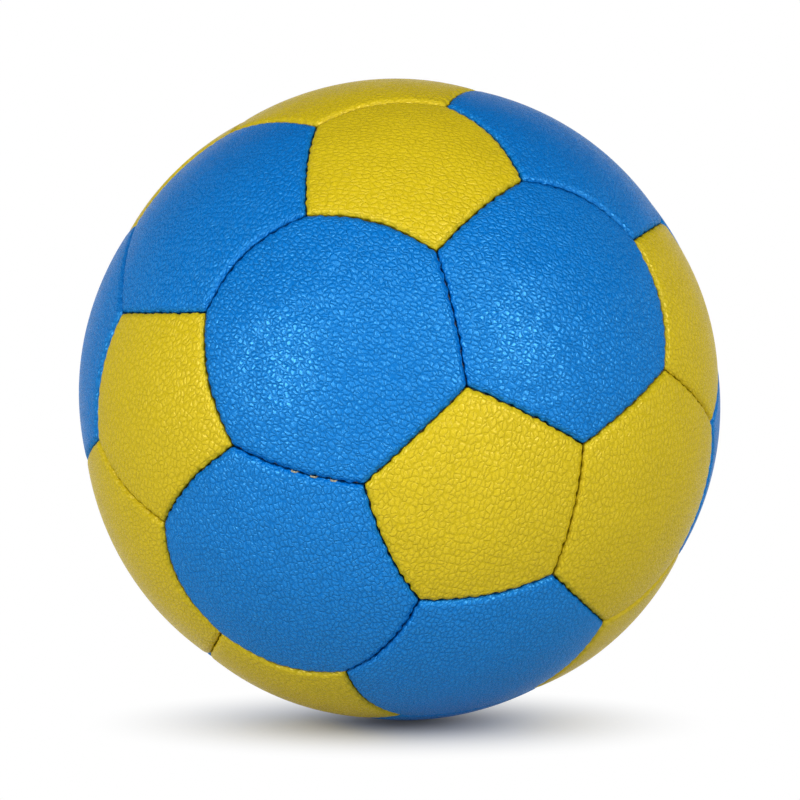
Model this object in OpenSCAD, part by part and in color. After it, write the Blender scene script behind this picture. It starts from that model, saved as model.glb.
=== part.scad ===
// Hand-stitched handball of 12 pentagon and 20 hexagon panels, in the pattern of a truncated icosahedron.
// The origin is the ball's centre and +Z is up as the ball stands.
// Each panel is a tray of pebbled skin with turned edges, a foam and a cloth lining bonded into it.
// The panels are sewn edge to edge round an air bladder, which carries the valve.

/* [Ball] */
// Diameter over the crowns of the panels
ball_d = 187.8; // [150:0.2:200]
// How far the middle of a panel's side lies under its crown
side_drop = 0.75; // [0.3:0.05:1.2]

/* [Panels] */
// Thickness of the pebbled skin
skin_t = 1.3; // [0.8:0.1:2]
// Thickness of the skin's edge where it is turned in
lip_t = 1.1; // [0.6:0.1:2]
// Thickness of the foam under the crown of the skin
foam_t = 2.6; // [2:0.1:4]
// Thickness of the cloth lining
lining_t = 1.2; // [0.6:0.1:2]
// Film of adhesive between two bonded pieces
bond_t = 0.05; // [0.02:0.01:0.1]

/* [Seams] */
// Width of the seam between two panels
seam_gap = 0.9; // [0.6:0.05:1.4]
// Depth of the thread's middle under the ball's crown
thread_depth = 2.2; // [1.8:0.1:3]
// Clearance between the thread and the edges on both sides of it
thread_play = 0.1; // [0.05:0.01:0.15]

/* [Bladder] */
// Thickness of the bladder's rubber
bladder_t = 0.9; // [0.5:0.1:2]
// Clearance between the bladder and the linings
bladder_play = 0.1; // [0.05:0.05:0.5]
// Diameter of the reinforcing patch round the valve
patch_d = 34; // [24:1:50]
// Thickness of that patch
patch_t = 1.2; // [0.6:0.1:2]
// Diameter of the balance patch opposite the valve
balance_d = 30; // [16:1:50]
// Thickness of the balance patch
balance_t = 2.4; // [1:0.1:4]

/* [Valve] */
// Number of the hexagon panel that carries the valve
valve_hexagon_number = 6; // [1:1:20]
// Outer diameter of the valve sleeve
sleeve_d = 8.2; // [7.6:0.1:12]
// Length of the valve sleeve
sleeve_l = 19; // [18:0.5:30]
// Diameter of the sleeve's flange on the patch
flange_d = 20; // [14:0.5:24]
// Thickness of the sleeve's flange
flange_t = 1; // [0.6:0.1:2]
// Depth of the sleeve's mouth under the panel's crown
mouth_drop = 0.5; // [0.3:0.05:1]
// Clearance round the sleeve in the panel and the bladder
sleeve_play = 0.15; // [0.05:0.05:0.4]
// Diameter of the core's head
core_head_d = 5.4; // [4.8:0.1:6]
// Length of the core's head
core_head_l = 2.4; // [1.5:0.1:4]
// Diameter of the core's shank
core_d = 4; // [3.4:0.1:4.4]
// Length of the core from its head to its tail
core_l = 17; // [12:0.5:17.4]
// Depth of the core's head under the sleeve's mouth
core_drop = 0.3; // [0:0.05:1]
// Running clearance between the core and the sleeve, on the radius
core_play = 0.05; // [0.02:0.01:0.1]
// Diameter of the bore that guides an inflating needle
needle_d = 2.2; // [1.8:0.1:2.6]
// Depth of that bore
needle_l = 9; // [5:0.5:11]
// Chamfer at the mouths of the sleeve, the core and the needle bore
mouth_chamfer = 0.4; // [0.1:0.05:0.5]

/* [Lie of the pattern] */
// Turn of the whole pattern about the upright axis, last
lie_turn = 49.23; // [-180:0.01:180]
// Tilt of the pattern's first pentagon away from the top
lie_tilt = 30.35; // [0:0.01:180]
// Spin of the pattern about its first pentagon, first
lie_spin = -8.2; // [-180:0.01:180]

/* [Colours] */
// Numbers of the hexagon panels in the second colour
second_hexagon_numbers = [3, 6, 15, 18]; // [1:1:20]
// Colour of the pentagons and of the second hexagons
second_colour = "#f2c81e"; // [#f2c81e, #f4f4f0, #e0402a]
// Colour of the other hexagons
first_colour = "#2f8fdc"; // [#2f8fdc, #2a9a58, #303438]

/* [Hidden] */
function two_digits(n) = n < 10 ? str("0", n) : str(n);
pentagon_nodes = [for (n = [1:12]) str("pentagon_panel_", two_digits(n))];
hexagon_nodes = [for (n = [1:20]) str("hexagon_panel_", two_digits(n))];
inner_nodes = ["pentagon_foams", "hexagon_foams", "pentagon_linings", "hexagon_linings"];
seam_nodes = ["pentagon_seam_threads", "hexagon_seam_threads"];
bladder_nodes = ["bladder", "valve_patch", "valve_sleeve", "valve_core", "balance_patch"];

$fn = 48;
ball_facets = 128;

// Angles of the pattern, from the axis of a pentagon or a hexagon.
// Two pentagons that share the ends of a seam stand this far apart.
pentagon_apart = atan(2);
// A pentagon's first side lies half a corner's turn from its first corner.
pentagon_first_side = 360 / 5 / 2;
// Hexagons stand in four rings between the first pentagon and the last.
first_ring = atan(3 - sqrt(5));
second_ring = atan(3 + sqrt(5));
pentagon_corner = atan(sin(pentagon_apart) / (2 + cos(pentagon_apart)));
pentagon_side = atan(tan(pentagon_corner) * cos(36));
// A seam's length is its chord on a ball of radius 1.
seam_chord = 2 * sin(36) * sin(pentagon_corner);
hexagon_side = atan(tan(asin(seam_chord)) * cos(30));
seam_angle = 2 * asin(seam_chord / 2);

// Radii of the layers, from the outside in.
ball_r = ball_d / 2;
side_r = ball_r - side_drop;
lining_r = ball_r - skin_t - bond_t - foam_t - bond_t;
wall_r = lining_r - lining_t;
bladder_r = wall_r - bladder_play;
patch_r = bladder_r - bladder_t - bond_t;
flange_r = patch_r - patch_t - bond_t;
thread_r = ball_r - thread_depth;
thread_d = seam_gap - 2 * thread_play;

// Insets of the layers from the middle of the seam.
skin_inset = seam_gap / 2;
lip_inset = skin_inset + lip_t;
foam_inset = lip_inset + bond_t;

// Heights along the valve's axis, from the ball's centre.
mouth_z = ball_r - mouth_drop;
core_top_z = mouth_z - core_drop;
core_seat_z = core_top_z - core_head_l;
// Room between the core's head and its seat.
seat_play = core_play;
// Length of the core's bevelled tail.
core_tail_l = 2 * mouth_chamfer;
// How far a cut runs past what it cuts.
overrun = ball_r / 100;

// Place of pentagon n: angle from the first one, turn round it, and turn of a corner in its own frame.
function pentagon_place(n) =
    n == 1 ? [0, 0, 0]
    : n < 7 ? [pentagon_apart, 72 * (n - 2), 180]
    : n < 12 ? [180 - pentagon_apart, 72 * (n - 7) + 36, 0]
    : [180, 0, 0];

// Place of hexagon n, in four rings of five, with a pentagon's side at turn 0 of the panel's own frame.
function hexagon_place(n) =
    n < 6 ? [first_ring, 72 * (n - 1) + 36, 180]
    : n < 11 ? [second_ring, 72 * (n - 6) + 36, 0]
    : n < 16 ? [180 - second_ring, 72 * (n - 11), 180]
    : [180 - first_ring, 72 * (n - 16), 0];

// Place of seam n between two hexagons: angle from the first pentagon, turn round it, and its slant there.
function seam_place(n) =
    n < 6 ? [pentagon_apart / 2, 72 * (n - 1), 90]
    : n < 11 ? [90 - pentagon_apart / 2, 72 * (n - 6) + 36, 0]
    : n < 21 ? [90, 36 * (n - 11) + 18, (n % 2 == 0 ? 1 : -1) * (90 - pentagon_apart / 2)]
    : n < 26 ? [90 + pentagon_apart / 2, 72 * (n - 21), 0]
    : [180 - pentagon_apart / 2, 72 * (n - 26) + 36, 90];

// Turns the pattern, with its first pentagon up, to the way the ball lies.
module lie() {
    rotate([0, 0, lie_turn]) rotate([0, lie_tilt, 0]) rotate([0, 0, lie_spin]) children();
}

// Puts children, made round +Z, at a place of the pattern.
module at(place) {
    lie() rotate([0, place[0], place[1]]) rotate([0, 0, place[2]]) children();
}

// How far towards a panel the centre of its dome lies, so that all sides come to side_r.
function dome_shift(side_angle) =
    (pow(ball_r, 2) - pow(side_r, 2)) / (2 * (ball_r - side_r * cos(side_angle)));

// The dome of a panel, or the surface that lies under it by a thickness.
module dome(side_angle, under = 0) {
    shift = dome_shift(side_angle);
    translate([0, 0, shift]) sphere(r = ball_r - shift - under, $fn = ball_facets);
}

// A ball round the ball's centre.
module inner_ball(r) {
    sphere(r = r, $fn = ball_facets);
}

// What lies past the sides of a panel with so many sides, each drawn in from the seam by an inset.
module past_sides(sides, first_side, side_angle, inset) {
    reach = ball_d;
    for (k = [0:sides - 1])
        rotate([0, 0, first_side + k * 360 / sides]) rotate([0, side_angle, 0])
            translate([-inset, -reach, -reach]) cube([reach, 2 * reach, 2 * reach]);
}

// Skin of a panel: a domed tray whose edges are turned in as deep as the lining.
module skin(sides, first_side, side_angle) {
    difference() {
        dome(side_angle);
        inner_ball(wall_r);
        past_sides(sides, first_side, side_angle, skin_inset);
        difference() {
            dome(side_angle, skin_t);
            past_sides(sides, first_side, side_angle, lip_inset);
        }
    }
}

// Foam of a panel, bonded into the tray of its skin.
module foam(sides, first_side, side_angle) {
    difference() {
        dome(side_angle, skin_t + bond_t);
        inner_ball(lining_r + bond_t);
        past_sides(sides, first_side, side_angle, foam_inset);
    }
}

// Cloth lining of a panel, bonded under its foam.
module lining(sides, first_side, side_angle) {
    difference() {
        inner_ball(lining_r);
        inner_ball(wall_r);
        past_sides(sides, first_side, side_angle, foam_inset);
    }
}

// The hole that a piece has round the valve sleeve, along +Z.
module sleeve_hole() {
    cylinder(d = sleeve_d + 2 * sleeve_play, h = ball_d);
}

module pentagon_panel(n) {
    color(second_colour) at(pentagon_place(n)) skin(5, pentagon_first_side, pentagon_side);
}

module hexagon_panel(n) {
    second = len([for (s = second_hexagon_numbers) if (s == n) s]) > 0;
    color(second ? second_colour : first_colour)
        at(hexagon_place(n)) difference() {
            skin(6, 0, hexagon_side);
            if (n == valve_hexagon_number) sleeve_hole();
        }
}

module pentagon_foams() {
    color("#e8e4d8") for (n = [1:12]) at(pentagon_place(n)) foam(5, pentagon_first_side, pentagon_side);
}

module hexagon_foams() {
    color("#e8e4d8") for (n = [1:20]) at(hexagon_place(n)) difference() {
        foam(6, 0, hexagon_side);
        if (n == valve_hexagon_number) sleeve_hole();
    }
}

module pentagon_linings() {
    color("#d8d2c0") for (n = [1:12]) at(pentagon_place(n)) lining(5, pentagon_first_side, pentagon_side);
}

module hexagon_linings() {
    color("#d8d2c0") for (n = [1:20]) at(hexagon_place(n)) difference() {
        lining(6, 0, hexagon_side);
        if (n == valve_hexagon_number) sleeve_hole();
    }
}

// Thread of one seam: a run of twine along the seam's arc, centred on +Z and lying along Y.
// It ends short of the corners, where three seams meet.
module seam_thread() {
    corner_play = 2 * thread_d;
    run = seam_angle - 2 * asin(corner_play / thread_r);
    rotate([0, -90, 0]) rotate([0, 0, -run / 2])
        rotate_extrude(angle = run, $fn = ball_facets)
            translate([thread_r, 0]) circle(d = thread_d, $fn = 24);
}

module pentagon_seam_threads() {
    color("#3a3a34") for (n = [1:12], k = [0:4])
        at(pentagon_place(n)) rotate([0, 0, pentagon_first_side + 72 * k])
            rotate([0, pentagon_side, 0]) seam_thread();
}

module hexagon_seam_threads() {
    color("#3a3a34") for (n = [1:30]) at(seam_place(n)) seam_thread();
}

// Air bladder, inflated against the linings, with the hole for the valve sleeve.
module bladder() {
    color("#2a2a2a") on_valve_axis() difference() {
        inner_ball(bladder_r);
        inner_ball(bladder_r - bladder_t);
        sleeve_hole();
    }
}

// Puts children, made round +Z, on the valve's axis.
module on_valve_axis() {
    at(hexagon_place(valve_hexagon_number)) children();
}

// A round cap of a thickness, cut from a shell of outer radius r.
module cap(r, t, d) {
    intersection() {
        difference() {
            inner_ball(r);
            inner_ball(r - t);
        }
        cylinder(d = d, h = ball_d);
    }
}

// Reinforcing patch, bonded to the inside of the bladder round the valve.
module valve_patch() {
    color("#1f1f1f") on_valve_axis() difference() {
        cap(patch_r, patch_t, patch_d);
        sleeve_hole();
    }
}

// Rubber sleeve of the valve: a stepped tube from the panel's mouth into the bladder.
// Its flange sits on the patch.
module valve_sleeve() {
    color("#151515") on_valve_axis() difference() {
        union() {
            translate([0, 0, mouth_z - sleeve_l]) cylinder(d = sleeve_d, h = sleeve_l);
            cap(flange_r, flange_t, flange_d);
        }
        // bore for the core's shank, right through
        translate([0, 0, mouth_z - sleeve_l - overrun])
            cylinder(d = core_d + 2 * core_play, h = sleeve_l + 2 * overrun);
        // wider bore for the core's head
        translate([0, 0, core_seat_z - seat_play])
            cylinder(d = core_head_d + 2 * core_play, h = ball_d);
        // chamfer at the mouth
        translate([0, 0, mouth_z - mouth_chamfer])
            chamfer_cut(core_head_d + 2 * core_play);
    }
}

// What a chamfer takes from the mouth of a bore of diameter d, from its lower edge upwards.
module chamfer_cut(d) {
    cylinder(d1 = d, d2 = d + 4 * mouth_chamfer, h = 2 * mouth_chamfer);
}

// Core of the valve: a headed plug with the blind bore that guides an inflating needle.
module valve_core() {
    color("#303030") on_valve_axis() difference() {
        union() {
            translate([0, 0, core_seat_z]) cylinder(d = core_head_d, h = core_head_l);
            translate([0, 0, core_top_z - core_l + core_tail_l])
                cylinder(d = core_d, h = core_l - core_tail_l - core_head_l / 2);
            translate([0, 0, core_top_z - core_l])
                cylinder(d1 = core_d - 2 * core_tail_l, d2 = core_d, h = core_tail_l);
        }
        translate([0, 0, core_top_z - needle_l]) cylinder(d = needle_d, h = needle_l + overrun);
        translate([0, 0, core_top_z - mouth_chamfer]) chamfer_cut(needle_d);
    }
}

// Balance patch, bonded to the inside of the bladder opposite the valve.
module balance_patch() {
    color("#1f1f1f") on_valve_axis() rotate([180, 0, 0]) cap(patch_r, balance_t, balance_d);
}

for (n = [1:12])
    pentagon_panel(n);
for (n = [1:20])
    hexagon_panel(n);
pentagon_foams();
hexagon_foams();
pentagon_linings();
hexagon_linings();
pentagon_seam_threads();
hexagon_seam_threads();
bladder();
valve_patch();
valve_sleeve();
valve_core();
balance_patch();
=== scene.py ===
import math

import bpy
import numpy as np
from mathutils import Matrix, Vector


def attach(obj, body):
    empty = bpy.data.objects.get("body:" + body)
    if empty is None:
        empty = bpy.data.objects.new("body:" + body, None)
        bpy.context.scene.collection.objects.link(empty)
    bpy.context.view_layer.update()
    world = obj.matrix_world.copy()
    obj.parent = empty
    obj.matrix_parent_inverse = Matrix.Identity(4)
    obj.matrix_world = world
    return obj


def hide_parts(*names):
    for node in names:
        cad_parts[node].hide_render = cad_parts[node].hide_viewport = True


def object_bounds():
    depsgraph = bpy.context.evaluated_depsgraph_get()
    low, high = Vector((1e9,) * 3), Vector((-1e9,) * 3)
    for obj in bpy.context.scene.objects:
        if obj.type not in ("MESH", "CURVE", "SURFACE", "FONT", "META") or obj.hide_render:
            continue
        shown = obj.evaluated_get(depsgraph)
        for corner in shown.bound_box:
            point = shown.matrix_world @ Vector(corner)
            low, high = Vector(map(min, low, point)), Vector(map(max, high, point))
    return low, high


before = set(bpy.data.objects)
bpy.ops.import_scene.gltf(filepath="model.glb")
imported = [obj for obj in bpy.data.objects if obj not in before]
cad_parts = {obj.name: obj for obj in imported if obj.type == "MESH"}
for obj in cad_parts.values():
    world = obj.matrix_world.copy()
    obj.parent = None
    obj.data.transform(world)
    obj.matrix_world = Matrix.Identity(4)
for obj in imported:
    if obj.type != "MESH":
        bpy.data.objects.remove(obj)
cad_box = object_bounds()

# Camera
# The ball is seen straight from the front, a little from above, through a long lens that keeps its outline
# round. The camera looks at the ball's middle.
MM = 0.001
BALL_R = 93.9 * MM
camera_distance = 8.344 * BALL_R
camera_rise = math.radians(7)
lens_length, sensor_width = 120.03, 36
camera = bpy.data.objects.new("camera", bpy.data.cameras.new("camera"))
bpy.context.scene.collection.objects.link(camera)
camera.location = camera_distance * Vector((0, -math.cos(camera_rise), math.sin(camera_rise)))
camera.rotation_euler = (-camera.location).to_track_quat("-Z", "Y").to_euler()
camera.data.lens, camera.data.sensor_width = lens_length, sensor_width
camera.data.dof.use_dof = False
bpy.context.scene.camera = camera
bpy.context.scene.view_settings.view_transform = "Standard"


# Floor
# A round white studio cove, whose rim curves up into a wall. Round the ball its paper is matt and takes the
# ball's shadow, and further out it fades into the white glow of the backdrop. The oval over which it fades
# is a painted shadow on top of the real one, and a little glow lightens even its middle.
class Value:
    """What comes out of a socket. An expression on values that are numbers adds the Math nodes that work it
    out."""

    def __init__(self, finish, socket):
        self.finish, self.socket = finish, socket

    def math(self, operation, *others):
        """The outcome of a Math node on this value and others."""
        return self.finish.add("ShaderNodeMath", {"operation": operation}, self, *others)[0]

    def __add__(self, other):
        return self.math("ADD", other)

    def __sub__(self, other):
        return self.math("SUBTRACT", other)

    def __rsub__(self, other):
        return (self * -1) + other

    def __mul__(self, other):
        return self.math("MULTIPLY", other)

    __radd__, __rmul__ = __add__, __mul__


class Finish:
    """A material's nodes. The shader is set up with constants, and values are linked into it."""

    def __init__(self, name, shader="ShaderNodeBsdfPrincipled", **constants):
        self.material = bpy.data.materials.new(name)
        self.material.use_nodes = True
        self.tree = self.material.node_tree
        self.tree.nodes.clear()
        output = self.tree.nodes.new("ShaderNodeOutputMaterial")
        self.shader = self.tree.nodes.new(shader)
        self.tree.links.new(self.shader.outputs[0], output.inputs["Surface"])
        self.shade(**constants)

    def add(self, kind, settings, *values, **named):
        """Adds a node of a kind, sets its settings, fills its sockets in order or by name, and gives its
        outputs. An underscore in a socket's name stands for a space."""
        node = self.tree.nodes.new(kind)
        for setting, choice in settings.items():
            setattr(node, setting, choice)
        self.fill(node, dict(enumerate(values)) | {key.replace("_", " "): v for key, v in named.items()})
        return [Value(self, socket) for socket in node.outputs]

    def fill(self, node, values):
        """Links each value into its socket, and sets the sockets that get a constant."""
        for key, value in values.items():
            if isinstance(value, Value):
                self.tree.links.new(value.socket, node.inputs[key])
            else:
                node.inputs[key].default_value = value

    def shade(self, **values):
        """Fills the shader's own sockets."""
        self.fill(self.shader, {key.replace("_", " "): v for key, v in values.items()})

    def where(self):
        """The point's place in the object's own frame."""
        return self.add("ShaderNodeTexCoord", {})[3]

    def mark(self, name):
        """A number that the mesh keeps for each of its points."""
        return self.add("ShaderNodeAttribute", {"attribute_name": name})[2]

    def bump(self, height, depth, strength=1.0):
        """The normals of a face that rises by a height, measured in depths."""
        return self.add("ShaderNodeBump", {}, Strength=strength, Distance=depth, Height=height)[0]

    def ramp(self, value, low, high, start=0, end=1, way="SMOOTHSTEP"):
        """A value that goes from start to end as another goes from low to high, smoothly or in a line."""
        return self.add("ShaderNodeMapRange", {"interpolation_type": way}, value, low, high, start, end)[0]

    def noise(self, where, scale, detail, dimensions="3D"):
        """Soft random values round a half, scale times to the unit of where."""
        settings = {"noise_dimensions": dimensions}
        return self.add("ShaderNodeTexNoise", settings, Vector=where, Scale=scale, Detail=detail)[0]

    def vector(self, operation, *values):
        """A vector worked out from others, or their dot product, or a length."""
        outputs = self.add("ShaderNodeVectorMath", {"operation": operation}, *values)
        return outputs[operation in ("DOT_PRODUCT", "LENGTH")]

    def tint(self, colour, dark, share):
        """A colour that goes to its dark tone as a share goes from 1 to 0."""
        mixed = self.add("ShaderNodeMix", {"data_type": "RGBA"}, share)[2]
        self.fill(mixed.socket.node, {6: (*dark, 1), 7: (*colour, 1)})
        return mixed


def surface(name, points, triangles, maps={}, marks={}):
    """A mesh from rows of points and triangles, with UV maps and marks given point by point, and shaded
    smooth all over."""
    mesh = bpy.data.meshes.new(name)
    mesh.vertices.add(len(points))
    mesh.vertices.foreach_set("co", np.asarray(points, np.float32).ravel())
    mesh.loops.add(triangles.size)
    mesh.loops.foreach_set("vertex_index", triangles.astype(np.int32).ravel())
    mesh.polygons.add(len(triangles))
    mesh.polygons.foreach_set("loop_start", np.arange(0, triangles.size, 3, dtype=np.int32))
    mesh.polygons.foreach_set("use_smooth", np.ones(len(triangles), bool))
    mesh.update(calc_edges=True)
    for key, rows in maps.items():
        layer = mesh.uv_layers.new(name=key)
        layer.data.foreach_set("uv", rows[triangles.ravel()].astype(np.float32).ravel())
    for key, row in marks.items():
        mesh.attributes.new(key, "FLOAT", "POINT").data.foreach_set("value", row.astype(np.float32))
    piece = bpy.data.objects.new(name, mesh)
    bpy.context.scene.collection.objects.link(piece)
    return piece


def join_bands(starts, counts):
    """Triangles between closed bands of points, given by their first points and their numbers of points.
    Each band is as long as the one before it or half as long, or a single point that closes it."""
    found = []
    for a, b, n, m in zip(starts, starts[1:], counts, counts[1:]):
        j = np.arange(m if m > 1 else n)
        if m == 1:
            found += [np.stack([a + j, b + 0 * j, a + (j + 1) % n], 1)]
        elif n == m:
            found += [np.stack([a + j, b + j, b + (j + 1) % m], 1),
                      np.stack([a + j, b + (j + 1) % m, a + (j + 1) % m], 1)]
        else:
            found += [np.stack([a + 2 * j, b + j, a + 2 * j + 1], 1),
                      np.stack([a + 2 * j + 1, b + j, b + (j + 1) % m], 1),
                      np.stack([a + 2 * j + 1, b + (j + 1) % m, a + (2 * j + 2) % n], 1)]
    return np.concatenate(found)


floor_gap = 0.1 * MM
floor_z = cad_box[0][2] - floor_gap
cove_steps = 64
# Radius and height of each ring of the cove, in metres, from the rim in.
cove = np.array([(3.0, 1.3), (3.0, 0.3), (2.92, 0.12), (2.78, 0.03), (2.6, 0)])
turn = 2 * math.pi * np.arange(cove_steps) / cove_steps
around = np.stack([np.cos(turn), np.sin(turn), 0 * turn], 1)
points = cove[:, :1, None] * around + (cove[:, 1:, None] + floor_z) * [0, 0, 1]
points = np.concatenate([points.reshape(-1, 3), [[0, 0, floor_z]]])
ring_starts = range(0, (len(cove) + 1) * cove_steps, cove_steps)
floor = surface("floor", points, join_bands(ring_starts, [cove_steps] * len(cove) + [1]))

# The matt patch is a painted shadow as well as the place of the real one: grey against the white glow,
# an oval, wider than deep, whose middle lies under the ball, a little towards the camera.
shadow_patch_stretch, shadow_patch_shift = (1, 2.1, 0), (0, 24.5 * MM, 0)
shadow_patch_inner, shadow_patch_outer, least_white = 0.03 * BALL_R, BALL_R, 0.02
paper_grey, backdrop_white = (0.6, 0.6, 0.6, 1), (1, 1, 1, 1)
paper = Finish("white_paper", "ShaderNodeMixShader")
off_shadow_patch = paper.vector("LENGTH", paper.vector("MULTIPLY_ADD", paper.where(), shadow_patch_stretch, shadow_patch_shift))
rays = paper.add("ShaderNodeLightPath", {})
camera_ray, glossy_ray, clear_ray = rays[0], rays[3], rays[6]
seen = camera_ray.math("MAXIMUM", glossy_ray).math("MAXIMUM", clear_ray)
matt = paper.add("ShaderNodeBsdfDiffuse", {}, paper_grey)[0]
glow = paper.add("ShaderNodeEmission", {}, backdrop_white, 1)[0]
# Painted shadow: the glow fades in over the oval, from least_white in its middle to all of it at its rim.
white_share = paper.ramp(off_shadow_patch, shadow_patch_inner, shadow_patch_outer, least_white)
paper.fill(paper.shader, {0: white_share * seen, 1: matt, 2: glow})
floor.data.materials.append(paper.material)

# Studio light
# Two soft boxes stand left and right of the camera, and a wide one hangs over it. One behind the ball lifts
# its far side, and isn't mirrored in it, so that it draws no white rim. Dim light from all round fills in
# the rest.

# Each box's side, azimuth and height angle in degrees, width and height in metres, and watts.
soft_boxes = [("left", -43, 17, 0.42, 0.62, 6.1), ("right", 41, 24, 0.42, 0.62, 5.7),
              ("front", 0, 42, 1.2, 0.7, 3.8), ("back", 180, 6, 0.6, 0.5, 4.5)]
lamp_distance = 1.15
for side, azimuth, elevation, width, height, watts in soft_boxes:
    light = bpy.data.lights.new("soft_box_" + side, "AREA")
    light.shape, light.size, light.size_y, light.energy = "RECTANGLE", width, height, watts
    lamp = bpy.data.objects.new("soft_box_" + side, light)
    bpy.context.scene.collection.objects.link(lamp)
    turn, rise = math.radians(azimuth), math.radians(elevation)
    level = math.cos(rise)
    lamp.location = lamp_distance * Vector((math.sin(turn) * level, -math.cos(turn) * level, math.sin(rise)))
    lamp.rotation_euler = (-lamp.location).to_track_quat("-Z", "Y").to_euler()
    lamp.visible_glossy = side != "back"

room_light = 0.165
room = bpy.data.worlds.new("white_room")
bpy.context.scene.world = room
room.use_nodes = True
background = room.node_tree.nodes["Background"]
background.inputs["Strength"].default_value = room_light
background.inputs["Color"].default_value = (1, 1, 1, 1)

# Leather panels
# Twelve pentagons and twenty hexagons of pebbled synthetic leather, cut flat, with their edges turned in and
# sewn to each other, so that each panel is drawn down at its stitches.

# How the pattern lies on the ground: turned, tilted from the upright and spun about its own axis, in degrees.
lie_turn, lie_tilt, lie_spin = 49.23, 30.35, -8.2
# Drop of a crown at its sides, distance of its turned edge's lower end from the ball's centre, thickness of
# the leather and of its lip, roll of the edge, half the gap of a seam, and pull of a corner.
side_drop = 0.75 * MM
wall_r = 88.75 * MM
skin_t, lip_t = 1.3 * MM, 1.1 * MM
roll_wide, roll_deep = 2.0 * MM, 1.2 * MM
edge_gap = 0.04 * MM
corner_pull = 0.3 * MM
# Rings of a crown's grid, and stitches to a seam.
lattice = 64
stitches = 10


def turn_z(degrees):
    """The matrix of a turn about z."""
    c, s = math.cos(math.radians(degrees)), math.sin(math.radians(degrees))
    return np.array([[c, -s, 0], [s, c, 0], [0, 0, 1]])


def turn_y(degrees):
    """The matrix of a turn about y."""
    c, s = math.cos(math.radians(degrees)), math.sin(math.radians(degrees))
    return np.array([[c, 0, s], [0, 1, 0], [-s, 0, c]])


# Angles of the pattern, seen from the ball's centre: between the axes of neighbouring pentagons, from a
# pentagon's axis to the two rings of hexagons round it, and from a panel's axis to its corners and sides.
pentagon_apart = math.degrees(math.atan(2))
first_ring = math.degrees(math.atan(3 - math.sqrt(5)))
second_ring = math.degrees(math.atan(3 + math.sqrt(5)))
pentagon_corner = math.atan(math.sin(math.atan(2)) / (2 + math.cos(math.atan(2))))
hexagon_corner = math.asin(2 * math.sin(math.radians(36)) * math.sin(pentagon_corner))
pentagon_side = math.atan(math.tan(pentagon_corner) * math.cos(math.radians(36)))
hexagon_side = math.atan(math.tan(hexagon_corner) * math.cos(math.radians(30)))

# Each panel's tilt from the pattern's axis, turn round it and spin about its own axis, in degrees.
fifths = range(0, 360, 72)
pentagon_places = [(0, 0, 0)] + [(pentagon_apart, fifth, 180) for fifth in fifths]
pentagon_places += [(180 - pentagon_apart, fifth + 36, 0) for fifth in fifths] + [(180, 0, 0)]
hexagon_places = [(first_ring, fifth + 36, 180) for fifth in fifths]
hexagon_places += [(second_ring, fifth + 36, 0) for fifth in fifths]
hexagon_places += [(180 - second_ring, fifth, 180) for fifth in fifths]
hexagon_places += [(180 - first_ring, fifth, 0) for fifth in fifths]


class Panel:
    """A panel's place in the pattern: its frame with the panel up, and its corners. For each of its seams it
    holds the bow, the pull of every stitch, and a sign that differs on the seam's two sides."""

    round_share, blend_share = 0.2, 0.6

    def __init__(self, name, place, sides, corner, side, first):
        self.name, self.sides, self.side = name, sides, side
        lie = turn_z(lie_turn) @ turn_y(lie_tilt) @ turn_z(lie_spin)
        self.frame = lie @ turn_z(place[1]) @ turn_y(place[0]) @ turn_z(place[2])
        self.angles = np.radians(first + 360 / sides * np.arange(sides + 1))
        across = math.sin(corner)
        self.corners = np.stack([across * np.cos(self.angles), across * np.sin(self.angles),
                                 np.full(sides + 1, math.cos(corner))], 1)
        self.apothem = side * BALL_R
        self.bows = np.zeros(sides)
        self.pulls, self.signs = np.ones((sides, stitches)), np.ones(sides)

    def middle(self, k):
        """The middle of side k on the unit ball, in the world."""
        point = self.frame @ (self.corners[k] + self.corners[k + 1])
        return point / np.linalg.norm(point)

    def border(self, k, t):
        """The seam's line at share t of side k, as angles from the panel's axis along its own x and y.
        It is the great circle from corner to corner, bowed out by the seam's bow times sin(pi t),
        with each corner rounded by a pull towards the middle that dies away along the side."""
        a, b = self.corners[k], self.corners[k + 1]
        arc = math.acos(self.corners[0] @ self.corners[1])
        line = (np.sin(arc * (1 - t))[:, None] * a + np.sin(arc * t)[:, None] * b) / math.sin(arc)
        out = -np.cross(a, b) / math.sin(arc)
        line = line + (self.bows[k] / BALL_R * np.sin(math.pi * t))[:, None] * out
        line /= np.linalg.norm(line, axis=1)[:, None]
        along = np.minimum(t, 1 - t) * arc * BALL_R
        reach = np.arccos(line[:, 2]) - corner_pull / BALL_R * np.exp(-along / (2 * corner_pull))
        turn = np.arctan2(line[:, 1], line[:, 0])
        return reach[:, None] * np.stack([np.cos(turn), np.sin(turn)], 1)

    def spread(self, k, t, share):
        """Points at a share of the way from the panel's axis to its border. Up to round_share they lie on a
        circle, and over blend_share from there they go smoothly over to the border's shape."""
        turn = self.angles[0] + 2 * math.pi / self.sides * (k + t)
        circle = self.side * np.stack([np.cos(turn), np.sin(turn)], 1)
        step = np.clip((share - self.round_share) / self.blend_share, 0, 1)
        step = (step * step * (3 - 2 * step))[:, None]
        return share[:, None] * (step * self.border(k, t) + (1 - step) * circle)

    def dome(self, reach):
        """Distance of the panel's crowned face from the ball's centre, at an angle from the panel's axis: a
        smaller sphere that touches the ball at the axis and drops by side_drop at the sides."""
        side_r = BALL_R - side_drop
        shift = (BALL_R ** 2 - side_r ** 2) / (2 * (BALL_R - side_r * math.cos(self.side)))
        return shift * np.cos(reach) + np.sqrt((BALL_R - shift) ** 2 - (shift * np.sin(reach)) ** 2)

    def place(self, flat, radius):
        """World points from angles along the panel's x and y and distances from the ball's centre: the axis,
        leant towards the two angles by their length, times the distance."""
        reach = np.linalg.norm(flat, axis=1)
        scale = np.sinc(reach / math.pi)[:, None]
        way = np.concatenate([flat * scale, np.cos(reach)[:, None]], 1)
        return (way * radius[:, None]) @ self.frame.T


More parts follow.
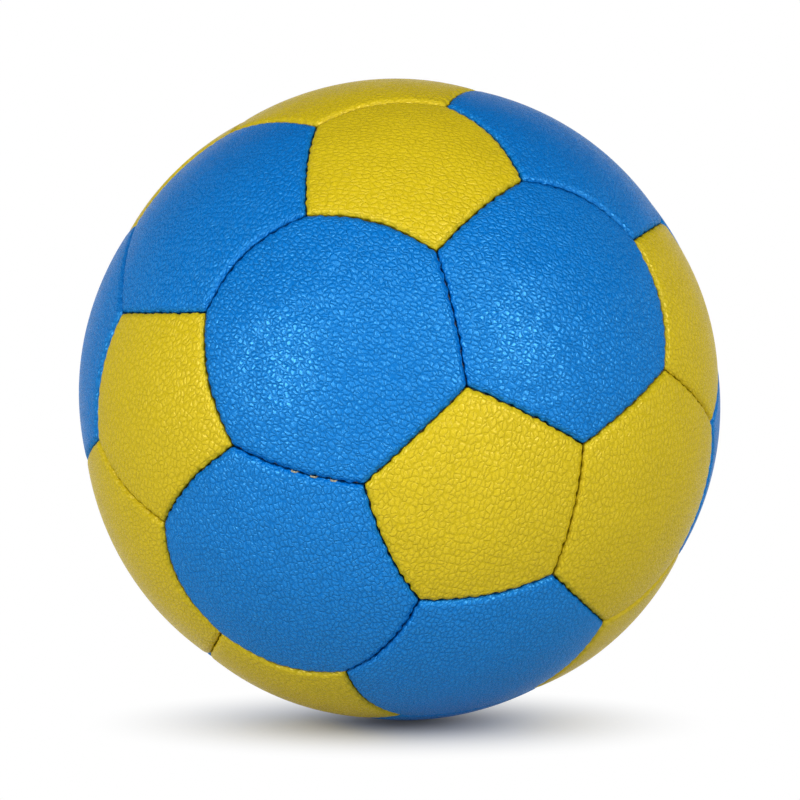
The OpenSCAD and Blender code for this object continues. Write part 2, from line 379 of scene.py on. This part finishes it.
panels = [Panel("pentagon_%02d" % (n + 1), place, 5, pentagon_corner, pentagon_side, 0)
          for n, place in enumerate(pentagon_places)]
panels += [Panel("hexagon_%02d" % (n + 1), place, 6, hexagon_corner, hexagon_side, 30)
           for n, place in enumerate(hexagon_places)]

# How far a seam bows out of its first panel into its second, in millimetres, by the panels' short names.
# The bows of the seams that aren't named here are drawn at random, up to the most.
seam_bows = {
    ("h14", "h08"): 3.6, ("h14", "p05"): 2.6, ("h14", "p09"): 2.2, ("h09", "h04"): 3.5, ("h09", "p06"): 2.7,
    ("p05", "h03"): 3.7, ("p05", "h04"): 2.2, ("p05", "h08"): 0.6, ("h09", "p05"): 0.6, ("h14", "h09"): 0.4,
    ("h14", "p10"): 0.1, ("p10", "h09"): 0.4, ("h15", "h09"): 0.2, ("p10", "h15"): 0.2, ("p10", "h20"): 1.0,
    ("p10", "h19"): 1.5, ("h14", "h19"): 1.2, ("h19", "p09"): 1.7, ("h19", "h18"): 4.1, ("h19", "p12"): 4.2,
    ("h19", "h20"): 1.9, ("h20", "h15"): 0.0, ("h08", "p04"): 5.5, ("h15", "h10"): 5.0, ("h20", "p12"): 2.2,
}
most_bow = 1.8


def short_names(first, second):
    """The two panels of a seam by shape and number, such as h14 for hexagon 14."""
    return first.name[0] + first.name[-2:], second.name[0] + second.name[-2:]


draw = np.random.default_rng(7)
seams = []
for a, first in enumerate(panels):
    for second in panels[a + 1:]:
        for k in range(first.sides):
            shared = [j for j in range(second.sides) if np.allclose(first.middle(k), second.middle(j))]
            if shared:
                key = short_names(first, second)
                drawn = draw.uniform(-most_bow, most_bow)
                bow = seam_bows.get(key, -seam_bows.get(key[::-1], -drawn)) * MM
                first.bows[k], second.bows[shared[0]] = bow, -bow
                seams.append((first, k, second, shared[0]))


def rings(sides, first, last):
    """Ring, side and share along the side of each point, where ring i has i steps to a side."""
    counts = sides * np.arange(first, last + 1)
    ring = np.repeat(np.arange(first, last + 1), counts)
    side, step = np.divmod(np.arange(len(ring)) - np.repeat(np.cumsum(counts) - counts, counts), ring)
    return ring, side, step / ring


def join_rings(sides, first, last):
    """Triangles between rings whose steps grow by one: one on each outer step and one on each inner step."""
    ring, side, share = rings(sides, first, last)
    step = np.rint(share * ring).astype(int)

    def index(i, k, j):
        return sides * (i * (i - 1) - first * (first - 1)) // 2 + (k * i + j) % (sides * i)

    outer, inner = ring > first, ring < last
    i, k, j = ring[outer], side[outer], step[outer]
    low = np.maximum(i - 1, 1)
    over = np.stack([index(low, k, j), index(i, k, j), index(i, k, j + 1)], 1)
    i, k, j = ring[inner], side[inner], step[inner]
    under = np.stack([index(i, k, j), index(i + 1, k, j + 1), index(i, k, j + 1)], 1)
    return np.concatenate([over, under])


# A stitch pulls the edge down and notches it inwards. The seam's line wavers, its edges are frayed, and the
# crown swells a little here and there.
stitch_pull, stitch_reach = 0.28 * MM, 1.8 * MM
notch_pull, notch_reach = 0.22 * MM, 0.7 * MM
waver, fray, waver_reach = 0.5 * MM, 0.12 * MM, 1.3 * MM
waver_pace, fray_pace, swell_pace = 240, 1.7, 7
waver_ways, waver_starts = draw.normal(size=(3, 8)) * waver_pace, draw.uniform(0, 2 * math.pi, (2, 8))
swell, swell_top = 0.1 * MM, 0.6
swell_ways, swell_starts = draw.normal(size=(3, 6)) * swell_pace, draw.uniform(0, 2 * math.pi, 6)
# The valve's panel begins at the ring round the valve's hole, and dips towards it.
hole_ring, valve_panel = 8, "hexagon_06"
dimple_deep, dimple_reach = 0.3 * MM, 0.4 * MM
roll = math.pi / 2 * np.arange(1, 9) / 8
roll_end = roll_wide + roll_deep
# Bands over the edge: inset from the seam, drop under the crown, share of the height over the wall's lower
# end, and reach on the bake map. They roll over the edge, go down the wall, and then up inside the lip.
edge_bands = [(edge_gap + roll_wide * (1 - math.sin(a)), roll_deep * (1 - math.cos(a)), 1,
               roll_wide * math.sin(a) + roll_deep * (1 - math.cos(a))) for a in roll]
edge_bands += [(edge_gap, roll_deep, 1 - n / 3, roll_end + n * 0.5 * MM) for n in (1, 2, 3)]
edge_bands += [(edge_gap + lip_t, skin_t, n, roll_end + (2 + n) * MM) for n in (0, 1)]


def skin(panel):
    """A panel's skin as one closed shell: points, triangles, maps and marks.
    It runs over the crown in rings, rolls over the edge in a quarter ellipse, goes down the wall and round
    the turned-in lip, and back under the crown in bands that halve. Each stitch draws the edge down and in by
    its pull, which dies away from the seam as an exponential. The seam's line wavers by a mean of sines of
    the place on the ball, the same for both its panels, and each edge frays by the size of a faster one."""
    sides, apothem = panel.sides, panel.apothem
    opened = panel.name == valve_panel
    first = hole_ring if opened else 1
    crown = 1 - (edge_gap + roll_wide) / apothem
    under = 1 - (edge_gap + lip_t) / apothem
    hole = hole_ring / lattice * crown if opened else 0
    # Each row: sides, shares along them, share of the way out, drop, height, reach on the map, 1 if outside.
    ring, side, t = rings(sides, first, lattice)
    rows = [(side, t, ring / lattice * crown, 0, 1, ring / lattice * crown, 1)]
    side, t = side[ring == lattice], t[ring == lattice]
    rows += [(side, t, 1 - inset / apothem, drop, height, crown + beyond / apothem, 1)
             for inset, drop, height, beyond in edge_bands]
    # The bands under the crown halve down to one step a side, or to the eight of the valve's hole.
    halvings = 3 if opened else 6
    for n in range(1, halvings + 1):
        side, step = np.divmod(np.arange(sides * lattice >> n), lattice >> n)
        share = under + (hole - under) * n / (halvings + (not opened))
        rows.append((side, step / (lattice >> n), share, skin_t, 1, share, 0))
    if not opened:
        middle = np.zeros(1, int), np.zeros(1), 0
        rows += [(*middle, skin_t, 1, 0, 0), (*middle, 0, 1, 0, 1)]
    counts = [len(row[0]) for row in rows]
    side, t, share, drop, height, chart, outer = (
        np.concatenate([np.broadcast_to(row[c], n) for row, n in zip(rows, counts)]) for c in range(7))

    stitch = np.minimum((t * stitches).astype(int), stitches - 1)
    pull = panel.pulls[side, stitch] * (0.5 - 0.5 * np.cos(2 * math.pi * stitches * t)) ** 2 * outer
    from_edge = np.maximum((1 - share) * apothem - edge_gap, 0)
    notch = pull * np.exp(-from_edge / notch_reach)
    drop = drop + stitch_pull * pull * np.exp(-from_edge / stitch_reach)
    if opened:
        drop = drop + outer * dimple_deep * np.exp(-(share - hole) * apothem / dimple_reach)
    sign = panel.signs[side]
    rim = panel.place(panel.border(side, t), np.ones(len(t))) @ waver_ways
    shift = sign * waver * np.sin(rim + waver_starts[0]).mean(1)
    shift -= fray * np.abs(np.sin(fray_pace * rim + waver_starts[1] * sign[:, None]).mean(1))
    # Both die away from the seam, and towards its two ends.
    shift *= np.minimum(1, 16 * t * (1 - t)) * outer * np.exp(-from_edge / waver_reach)
    flat = panel.spread(side, t, share * (1 + (shift - notch_pull * notch) / apothem))
    ripple = np.sin(panel.place(flat, np.ones(len(t))) @ swell_ways + swell_starts).mean(1)
    crest = panel.dome(np.linalg.norm(flat, axis=1)) - drop - swell * (swell_top - ripple)
    points = panel.place(flat, wall_r + height * (crest - wall_r))

    starts = np.cumsum([0] + counts)[:-1]
    edge_starts, edge_counts = [counts[0] - sides * lattice, *starts[1:]], [sides * lattice, *counts[1:]]
    triangles = [join_rings(sides, first, lattice)]
    if opened:
        triangles.append(join_bands(edge_starts + [0], edge_counts + [sides * hole_ring]))
    else:
        triangles.append(join_bands(edge_starts[:-1], edge_counts[:-1]))
        j = np.arange(sides)
        triangles.append(np.stack([len(t) - 1 + 0 * j, j, (j + 1) % sides], 1))

    # The bake map shows the outside large and the underside small in a corner. The grain's map is in
    # millimetres, and each panel is cut from its own place of the leather.
    sheet = flat * (BALL_R * chart / np.maximum(share, 1e-9))[:, None]
    over, beneath = outer == 1, outer == 0
    bake = np.empty_like(sheet)
    bake[over] = 0.5 + sheet[over] * 0.49 / np.abs(sheet[over]).max()
    bake[beneath] = 0.905 + sheet[beneath] * 0.08 / np.abs(sheet[beneath]).max()
    spin = turn_z(float(draw.uniform(0, 360)))[:2, :2]
    grain = sheet / MM @ spin + draw.uniform(-200, 200, 2)
    marks = {"from_edge": from_edge / MM * outer * (height == 1)}
    return points, np.concatenate(triangles), {"OFBake": bake, "grain": grain}, marks


# The grain's scales are in times to a millimetre of the flat cut, and distances from the edge in millimetres.
pebble_stretch, pebble_disorder = (0.8, 1.15, 1), 0.85
wander_scale, wander_reach = 0.5, (1.5, 1.5, 0)
corner_cut, dome_low, dome_high = 0.35, -0.07, 0.34
least_tall, tall_share, lean_share = 0.8, 0.2, 0.3
pore_scale, pore_height, pore_rough, least_rough = 2.6, 0.06, 0.08, 0.23
cloud_scale, cloud_height, cloud_shade = 0.08, 3, 0.1
hem_start, hem_end, hem_height = 0.2, 1.6, 0.6
# Painted shade in the crease: crease_shade is the least share of the colour at the edge.
crease_start, crease_end, crease_shade = -0.05, 0.2, 0.25
# Painted shade in the grooves: groove_shade is how much darker the colour is between the pebbles.
groove_shade, groove_gleam, coat_shine = 0.14, 0.5, 0.015


def leather(name, colour, dark, gloss, gleam_share, grain_scale, grain_depth):
    """Pebbled leather. A pebble is a cell of a random pattern on the flat cut, and its height is 1 less the
    square of its steepness. That goes from 1 to 0 as the distance from the cell's border, less corner_cut
    times the square of the distance from its middle, goes from dome_low to dome_high, so that its corners are
    rounded. Pebbles differ in height and lean their own ways, and are flatter near the panel's edge. Painted
    shade darkens the colour in the crease by the edge and in the grooves between the pebbles. The coating
    gleams in a lighter tone of its own colour: a tinted mirror is mixed in, by a share that is halved in
    the grooves between the pebbles."""
    finish = Finish(name, "ShaderNodeMixShader")
    flat_noise = {"noise_dimensions": "2D"}
    cut = finish.add("ShaderNodeUVMap", {"uv_map": "grain"})[0]
    wander = finish.add("ShaderNodeTexNoise", flat_noise, Vector=cut, Scale=wander_scale, Detail=2)[1]
    place = finish.vector("MULTIPLY_ADD", wander, wander_reach, cut)
    place = finish.vector("MULTIPLY", place, pebble_stretch)
    cells = {"Vector": place, "Scale": grain_scale, "Randomness": pebble_disorder}
    to_border = {"voronoi_dimensions": "2D", "feature": "DISTANCE_TO_EDGE"}
    to_middle = {"voronoi_dimensions": "2D", "feature": "F1"}
    edge = finish.add("ShaderNodeTexVoronoi", to_border, **cells)[0]
    near, pick, centre = finish.add("ShaderNodeTexVoronoi", to_middle, **cells)[:3]
    lean = finish.vector("DOT_PRODUCT", finish.vector("SUBTRACT", place, centre),
                         finish.vector("SUBTRACT", pick, (0.5, 0.5, 0)))
    tall = finish.add("ShaderNodeSeparateColor", {}, pick)[2]
    pores = finish.noise(cut, pore_scale, 2, "2D")
    cloud = finish.noise(cut, cloud_scale, 3, "2D")

    steep = finish.ramp(edge - near * near * corner_cut, dome_low, dome_high, 1, 0, "LINEAR")
    flank = 1 - steep * steep
    pebble = flank * (tall * tall_share + lean * lean_share + least_tall)
    from_edge = finish.mark("from_edge")
    hem = finish.ramp(from_edge, hem_start, hem_end, hem_height, 1)
    # Painted shade: the colour darkens in the crease by the panel's edge, down to crease_shade of it.
    crease_painted_shade = finish.ramp(from_edge, crease_start, crease_end, crease_shade, 1)
    clouded = cloud * cloud_shade + (1 - cloud_shade / 2)
    # Painted shade: the colour darkens in the grooves between the pebbles and in the crease, and varies at
    # random with the cloud.
    share = (flank * groove_shade + (1 - groove_shade)) * crease_painted_shade * clouded
    height = (pebble + cloud * cloud_height + pores * pore_height) * hem
    grain = {"Roughness": pores * pore_rough + least_rough, "Normal": finish.bump(height, grain_depth)}
    body = finish.add("ShaderNodeBsdfPrincipled", {}, Base_Color=finish.tint(colour, dark, share),
                      Specular_IOR_Level=coat_shine, **grain)[0]
    gleam = finish.add("ShaderNodeBsdfPrincipled", {}, Base_Color=(*gloss, 1), Metallic=1,
                       Specular_Tint=(*gloss, 1), **grain)[0]
    gleam_mix = (flank * (1 - groove_gleam) + groove_gleam) * gleam_share
    finish.fill(finish.shader, {0: gleam_mix, 1: body, 2: gleam})
    return finish.material


blue_leather = leather("blue_leather", colour=(0.001, 0.187, 0.65), dark=(0.0005, 0.02, 0.08),
                       gloss=(0.16, 0.66, 1), gleam_share=0.13, grain_scale=0.7, grain_depth=0.28 * MM)
yellow_leather = leather("yellow_leather", colour=(0.72, 0.545, 0.01), dark=(0.10, 0.065, 0.002),
                         gloss=(1, 0.8, 0.28), gleam_share=0.075, grain_scale=0.62, grain_depth=0.2 * MM)
yellow_hexagons = (3, 6, 15, 18)
least_pull, most_pull = 0.6, 1.2
for first, k, second, j in seams:
    second.signs[j] = -1
    first.pulls[k] = draw.uniform(least_pull, most_pull, stitches)
    second.pulls[j] = first.pulls[k][::-1]
for panel in panels:
    shape, number = panel.name.split("_")
    piece = surface(panel.name + "_leather", *skin(panel))
    yellow = shape == "pentagon" or int(number) in yellow_hexagons
    piece.data.materials.append(yellow_leather if yellow else blue_leather)
    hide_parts(shape + "_panel_" + number)
    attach(piece, "ball")

# Seam threads
# Waxed twine of 0.5 mm in a lock stitch along each seam. It lies deep between the edges and comes up at its
# stitches, and on one seam, where the stitches are slack, it shows on the lower panel's edge.

# Depths of the twine under the crown, between its stitches and at them. Then the shares of a side where a run
# starts and ends, its steps to a stitch, and the share of its thickness that its tips have.
twine_r, twine_faces = 0.26 * MM, 6
thread_low, thread_high = 2.9 * MM, 2.5 * MM
thread_start, thread_end, steps_to_stitch, tip_share = 0.035, 0.965, 20, 0.4
# The slack seam's stitches to a side, and the shares of the side between which they show. They leave the
# depth of the others over slack_span of their wave, from slack_from on.
slack_seams = {("h14", "h19"): (7, 0.42, 0.86)}
slack_high, slack_aside, slack_from, slack_span = 0.6 * MM, 0.2 * MM, 0.66, 0.2


def twine(panel, k, loose):
    """A tube along side k of a panel, at a depth that goes between its low and high level once a stitch, as
    a cosine. Loose stitches, given as their number to a side and the shares of the side where they show, come
    up to the slack level for a third of a stitch and lie there aside, on the next panel's edge."""
    count, start, end = loose or (stitches, 1, 0)
    t = np.linspace(thread_start, thread_end, steps_to_stitch * count + 1)
    wave = 0.5 - 0.5 * np.cos(2 * math.pi * count * t)
    slack = np.clip((wave - slack_from) / slack_span, 0, 1) * (t > start) * (t < end)
    depth = thread_low + (thread_high - thread_low) * wave
    depth += (slack_high - depth) * slack
    line = panel.border(k + 0 * np.arange(len(t)), t)
    along = panel.place(line * (1 + slack_aside * slack / panel.apothem)[:, None],
                        panel.dome(np.linalg.norm(line, axis=1)) - depth)
    ahead = np.gradient(along, axis=0)
    ahead /= np.linalg.norm(ahead, axis=1)[:, None]
    up = along / np.linalg.norm(along, axis=1)[:, None]
    aside = np.cross(ahead, up)
    aside /= np.linalg.norm(aside, axis=1)[:, None]
    up = np.cross(aside, ahead)
    turn = 2 * math.pi * np.arange(twine_faces) / twine_faces
    thick = twine_r * np.where((t == t[0]) | (t == t[-1]), tip_share, 1)
    ring = np.cos(turn)[None, :, None] * aside[:, None] + np.sin(turn)[None, :, None] * up[:, None]
    points = np.concatenate([(along[:, None] + thick[:, None, None] * ring).reshape(-1, 3), along[[0, -1]]])
    first_tip, last_tip = len(points) - 2, len(points) - 1
    starts = list(range(0, len(t) * twine_faces, twine_faces)) + [last_tip]
    sides = join_bands(starts, [twine_faces] * len(t) + [1])
    j = np.arange(twine_faces)
    sides = np.concatenate([sides, np.stack([first_tip + 0 * j, j, (j + 1) % twine_faces], 1)])
    return points, sides, np.append(np.repeat(t, twine_faces), [0, 1]) * stitches


def gather(parts):
    """One set of points, triangles and marks from several, with the triangles counted on."""
    counts = np.cumsum([0] + [len(part[0]) for part in parts])
    return (np.concatenate([part[0] for part in parts]),
            np.concatenate([part[1] + n for part, n in zip(parts, counts)]),
            *(np.concatenate([part[c] for part in parts]) for c in range(2, len(parts[0]))))


twine_pale, twine_dark = (0.52, 0.49, 0.34), (0.24, 0.21, 0.14)
strand_pace, soil_scale = 34, 700
waxed = Finish("waxed_twine", Roughness=0.6, Specular_IOR_Level=0.3)
strands = (waxed.mark("lay") * strand_pace).math("SINE") * 0.5 + 0.5
soil = waxed.noise(waxed.where(), soil_scale, 3)
waxed.shade(Base_Color=waxed.tint(twine_pale, twine_dark, strands * 0.6 + soil * 0.5),
            Normal=waxed.bump(strands + soil, 0.08 * MM, 0.6))
for shape in ("pentagon", "hexagon"):
    runs = []
    for first, k, second, j in seams:
        if first.name.startswith(shape) and (shape == "pentagon" or second.name.startswith("hexagon")):
            runs.append(twine(first, k, slack_seams.get(short_names(first, second))))
    points, triangles, lay = gather(runs)
    piece = surface(shape + "_seam_twine", points, triangles, marks={"lay": lay})
    piece.data.materials.append(waxed.material)
    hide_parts(shape + "_seam_threads")
    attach(piece, "ball")

# Foams and linings
# Behind each skin lies a pad of foam, and behind that a stiff woven lining. Both are cut to the skin's bowed
# outline, a little smaller, and bonded into its tray.
pad_rings = 16
pad_inset = 1.75 * MM
foam_under_skin, foam_low, foam_hem = 1.35 * MM, 90.0 * MM, 0.3 * MM
lining_high, lining_low, lining_hem = 89.9 * MM, 88.75 * MM, 0.1 * MM


def foam_face(panel, reach):
    """Distance of a foam's upper face from the ball's centre: the crown's, less the skin over it."""
    return panel.dome(reach) - foam_under_skin


def lining_face(panel, reach):
    """Distance of a lining's upper face from the ball's centre, the same all over."""
    return np.full(len(reach), lining_high)


def pad(panel, face, low, hem):
    """A closed layer of a panel: rings out over its upper face, a rounded edge, and rings back under it in
    the same way, at the distance low from the ball's centre."""
    sides = panel.sides
    opened = 2 if panel.name == valve_panel else 1
    ring, side, t = rings(sides, opened, pad_rings)
    whole = 1 - pad_inset / panel.apothem
    edge = ring == pad_rings
    spread = ring / pad_rings * (whole - hem / panel.apothem)
    # Each row: sides, shares along them, share of the way out, and height from the lower face to the upper.
    rows = [(side, t, spread, 1.0), (side[edge], t[edge], whole, 0.8), (side[edge], t[edge], whole, 0.2),
            (side, t, spread, 0.0)]
    if opened == 1:
        rows += [(np.zeros(1, int), np.zeros(1), 0, height) for height in (1.0, 0.0)]
    counts = [len(row[0]) for row in rows]
    side, t, share, height = (
        np.concatenate([np.broadcast_to(row[c], n) for row, n in zip(rows, counts)]) for c in range(4))
    flat = panel.spread(side, t, share)
    upper = face(panel, np.linalg.norm(flat, axis=1))
    points = panel.place(flat, low + (upper - low) * height)
    start = np.cumsum([0] + counts)
    loop = sides * pad_rings
    over = join_rings(sides, opened, pad_rings)
    under = over[:, ::-1] + start[3]
    edges = join_bands([start[1] - loop, start[1], start[2], start[4] - loop], [loop] * 4)
    j = np.arange(sides * opened)
    if opened == 1:
        caps = [np.stack([start[4] + 0 * j, j, (j + 1) % sides], 1),
                np.stack([start[5] + 0 * j, start[3] + (j + 1) % sides, start[3] + j], 1)]
    else:
        caps = [join_bands([start[3], 0], [len(j)] * 2)]
    return points, np.concatenate([over, under, edges, *caps])


foam_pale, foam_dark = (0.80, 0.76, 0.66), (0.50, 0.45, 0.34)
bubble_scale, bubble_wall, bubble_middle, age_scale = 1600.0, 0.55, 0.1, 60
foam = Finish("pale_foam", Roughness=0.9, Specular_IOR_Level=0.1)
where = foam.where()
bubbles = foam.add("ShaderNodeTexVoronoi", {"feature": "F1"}, Vector=where, Scale=bubble_scale)[0]
hollow = foam.ramp(bubbles, bubble_wall, bubble_middle)
age = foam.noise(where, age_scale, 2)
foam.shade(Base_Color=foam.tint(foam_pale, foam_dark, hollow * 0.6 + age * 0.4),
           Normal=foam.bump(bubbles, 0.2 * MM, 0.7))

cloth_pale, cloth_dark = (0.70, 0.66, 0.54), (0.34, 0.31, 0.24)
yarn_pace, wear_scale = 5200, 90
cloth = Finish("woven_lining", Roughness=0.85, Specular_IOR_Level=0.15)
where = cloth.where()
x, y, z = cloth.add("ShaderNodeSeparateXYZ", {}, where)
warp = ((x + z * 0.6) * yarn_pace).math("SINE") * 0.5 + 0.5
weft = ((y - z * 0.6) * yarn_pace).math("SINE") * 0.5 + 0.5
weave = warp.math("MAXIMUM", weft)
wear = cloth.noise(where, wear_scale, 3)
cloth.shade(Base_Color=cloth.tint(cloth_pale, cloth_dark, weave * 0.7 + wear * 0.4),
            Normal=cloth.bump(weave, 0.2 * MM, 0.6))

# Each layer's name, finish, upper face, lower level, hem and slot.
layers = [("foams", foam, foam_face, foam_low, foam_hem, "foam"),
          ("linings", cloth, lining_face, lining_low, lining_hem, "lining_cloth")]
for shape in ("pentagon", "hexagon"):
    for kind, finish, face, low, hem, slot in layers:
        points, triangles = gather([pad(p, face, low, hem) for p in panels if p.name.startswith(shape)])
        piece = surface(shape + "_" + kind + "_cut", points, triangles)
        piece.data.materials.append(finish.material)
        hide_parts(shape + "_" + kind)
        kind == "foams"
        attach(piece, "ball")

# Bladder and patches
# An air bladder of latex fills the ball. A round patch of black rubber holds the valve, and a heavier one
# opposite balances it. Their own solids show, with a finish of dusted latex and of moulded rubber.
latex_pale, latex_dark = (0.085, 0.08, 0.075), (0.022, 0.021, 0.02)
dust_scale, fold_scale = 220, 24
latex = Finish("dusted_latex", Roughness=0.5, Specular_IOR_Level=0.4)
where = latex.where()
dust, folds = latex.noise(where, dust_scale, 4), latex.noise(where, fold_scale, 2)
latex.shade(Base_Color=latex.tint(latex_pale, latex_dark, dust * 0.6 + folds * 0.5),
            Roughness=dust * 0.4 + 0.32, Normal=latex.bump(dust + folds * 2, 0.3 * MM, 0.4))

fleck_start, fleck_end, fleck_size = 0.35, 0.75, 6


def rubber(name, colour, dark, grit):
    """Moulded black rubber: a fine matt skin with a few paler flecks, larger than its grit."""
    finish = Finish(name, Specular_IOR_Level=0.4)
    where = finish.where()
    moulded, flecks = finish.noise(where, grit, 4), finish.noise(where, grit / fleck_size, 2)
    finish.shade(Base_Color=finish.tint(colour, dark, finish.ramp(flecks, fleck_start, fleck_end)),
                 Roughness=moulded * 0.3 + 0.38, Normal=finish.bump(moulded, 0.06 * MM, 0.5))
    return finish.material


def dress(node, material):
    """Gives a node's own solid a material."""
    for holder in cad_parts[node].material_slots:
        holder.material = material


patch_rubber = rubber("patch_rubber", (0.05, 0.05, 0.05), (0.02, 0.02, 0.02), 900)
dress("bladder", latex.material)
dress("valve_patch", patch_rubber)
dress("balance_patch", patch_rubber)

# Valve
# The sleeve is black moulded rubber, let into the middle of one hexagon. Its core is a softer plug of dark
# grey rubber that grips the inflating needle. Both show their own solids.
dress("valve_sleeve", rubber("valve_rubber", (0.035, 0.035, 0.037), (0.012, 0.012, 0.013), 1500))
dress("valve_core", rubber("core_rubber", (0.075, 0.075, 0.08), (0.035, 0.035, 0.037), 1900))
